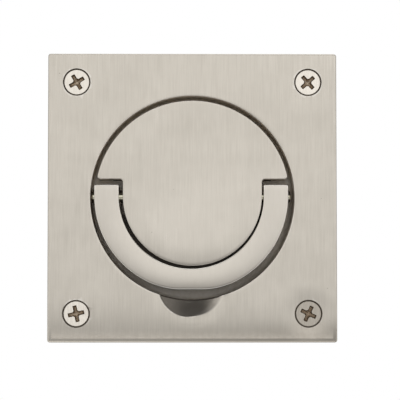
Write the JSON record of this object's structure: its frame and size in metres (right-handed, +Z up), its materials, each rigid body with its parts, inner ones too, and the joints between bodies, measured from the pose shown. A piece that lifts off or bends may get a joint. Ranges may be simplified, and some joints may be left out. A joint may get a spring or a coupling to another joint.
{
  "type": "recessed pull handle",
  "caption": "Square flush ring pull: a face plate with a round cup behind it, a fixed hub, and a hinged ring that a fingertip lifts out at a scoop in the rim.",
  "frame": {"origin": "centre of the round recess on the plate's back, the face that lies on the door", "axes": "+Y out of the plate's back, into the door; -Y out of the show face, into the room; +Z up, from the scoop to the hub's wide half; +X to the right as seen from the room"},
  "size_m": [0.0762, 0.0193, 0.0762],
  "materials": {
    "satin_nickel": "satin nickel plate on forged brass, brushed up and down",
    "ring_nickel": "satin nickel plate on forged brass, finely brushed along the ring",
    "pin_steel": "drawn steel rod, left bright",
    "screw_nickel": "nickel plated wood screw",
    "zinc_steel": "zinc plated steel"
  },
  "bodies": {
    "housing": {"face_plate": "satin_nickel", "hub": "satin_nickel", "hub_screw_upper": "zinc_steel", "hub_screw_lower": "zinc_steel", "lock_washer_upper": "zinc_steel", "lock_washer_lower": "zinc_steel", "mounting_screw_top_left": "screw_nickel", "mounting_screw_top_right": "screw_nickel", "mounting_screw_bottom_left": "screw_nickel", "mounting_screw_bottom_right": "screw_nickel"},
    "pull_ring": {"ring": "ring_nickel", "pivot_pin": "pin_steel"}
  },
  "joints": [
    {"name": "ring_hinge", "type": "hinge", "parent": "housing", "child": "pull_ring", "pos_m": [0, -0.001, 0.0004], "axis": [-1, 0, 0], "range_deg": [0, 110]}
  ]
}
